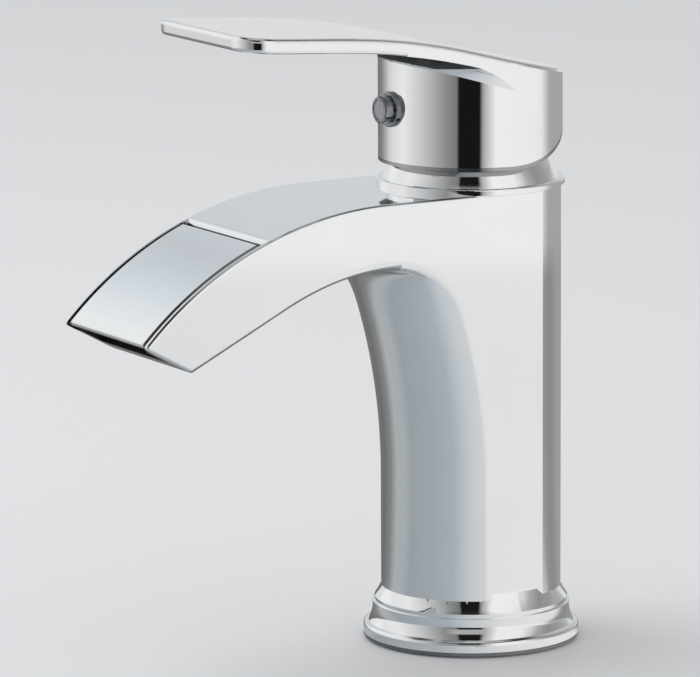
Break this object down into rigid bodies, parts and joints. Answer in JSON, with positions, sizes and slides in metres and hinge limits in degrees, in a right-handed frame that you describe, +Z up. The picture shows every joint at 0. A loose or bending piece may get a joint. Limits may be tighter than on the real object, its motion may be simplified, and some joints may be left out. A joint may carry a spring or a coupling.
{
  "type": "waterfall basin faucet",
  "caption": "Single lever basin mixer: round column with two flat sides, wide arched waterfall spout with a front cover, dome ring and flat lever.",
  "frame": {"origin": "centre of the deck hole, on the top face of the deck", "axes": "+Z up along the column, spout and lever point along -Y, +X to the right of the spout as seen from behind it"},
  "size_m": [0.0576, 0.1387, 0.2137],
  "materials": {
    "body_chrome": "polished",
    "cover_chrome": "polished",
    "ring_chrome": "polished",
    "bonnet_chrome": "polished",
    "handle_chrome": "polished",
    "button_chrome": "polished",
    "index_colour": "gloss",
    "rubber": "matt",
    "white_plastic": "satin",
    "cartridge_plastic": "satin",
    "ceramic": "ground and lapped",
    "steel": "plated",
    "brass": "turned"
  },
  "bodies": {
    "faucet_body": {"body": "body_chrome", "spout_cover": "cover_chrome", "base_ring": "ring_chrome", "bonnet": "bonnet_chrome", "cover_gasket": "rubber", "base_seal": "rubber", "inlet_seals": "rubber", "side_seal": "rubber", "disc_seals": "rubber", "bonnet_seal": "rubber", "rubber_washer": "rubber", "flow_spreader": "white_plastic", "cartridge_base": "cartridge_plastic", "cartridge_housing": "cartridge_plastic", "fixed_disc": "ceramic", "steel_washer": "steel", "mounting_stud": "steel", "fixing_nut": "brass", "cartridge_nut": "brass"},
    "rotor": {"rotor": "white_plastic", "pivot_pin": "steel"},
    "moving_disc": {"moving_disc": "ceramic", "disc_carrier": "white_plastic"},
    "lever": {"handle": "handle_chrome", "spindle": "brass", "grub_screw": "steel", "index_button": "button_chrome", "index_disc": "index_colour"}
  },
  "joints": [
    {"name": "lever_swivel", "type": "hinge", "parent": "faucet_body", "child": "rotor", "pos_m": [0, 0, 0.118], "axis": [0, 0, 1], "range_deg": [-45, 45]},
    {"name": "lever_lift", "type": "hinge", "parent": "rotor", "child": "lever", "pos_m": [0, 0, 0.118], "axis": [-1, 0, 0], "range_deg": [0, 25]},
    {"name": "disc_slide", "type": "slide", "parent": "rotor", "child": "moving_disc", "axis": [0, -1, 0], "range_m": [0, 0.0046]}
  ],
  "couplings": [
    {"joint": "disc_slide", "follows": "lever_lift", "m_per_rad": 0.0105}
  ]
}
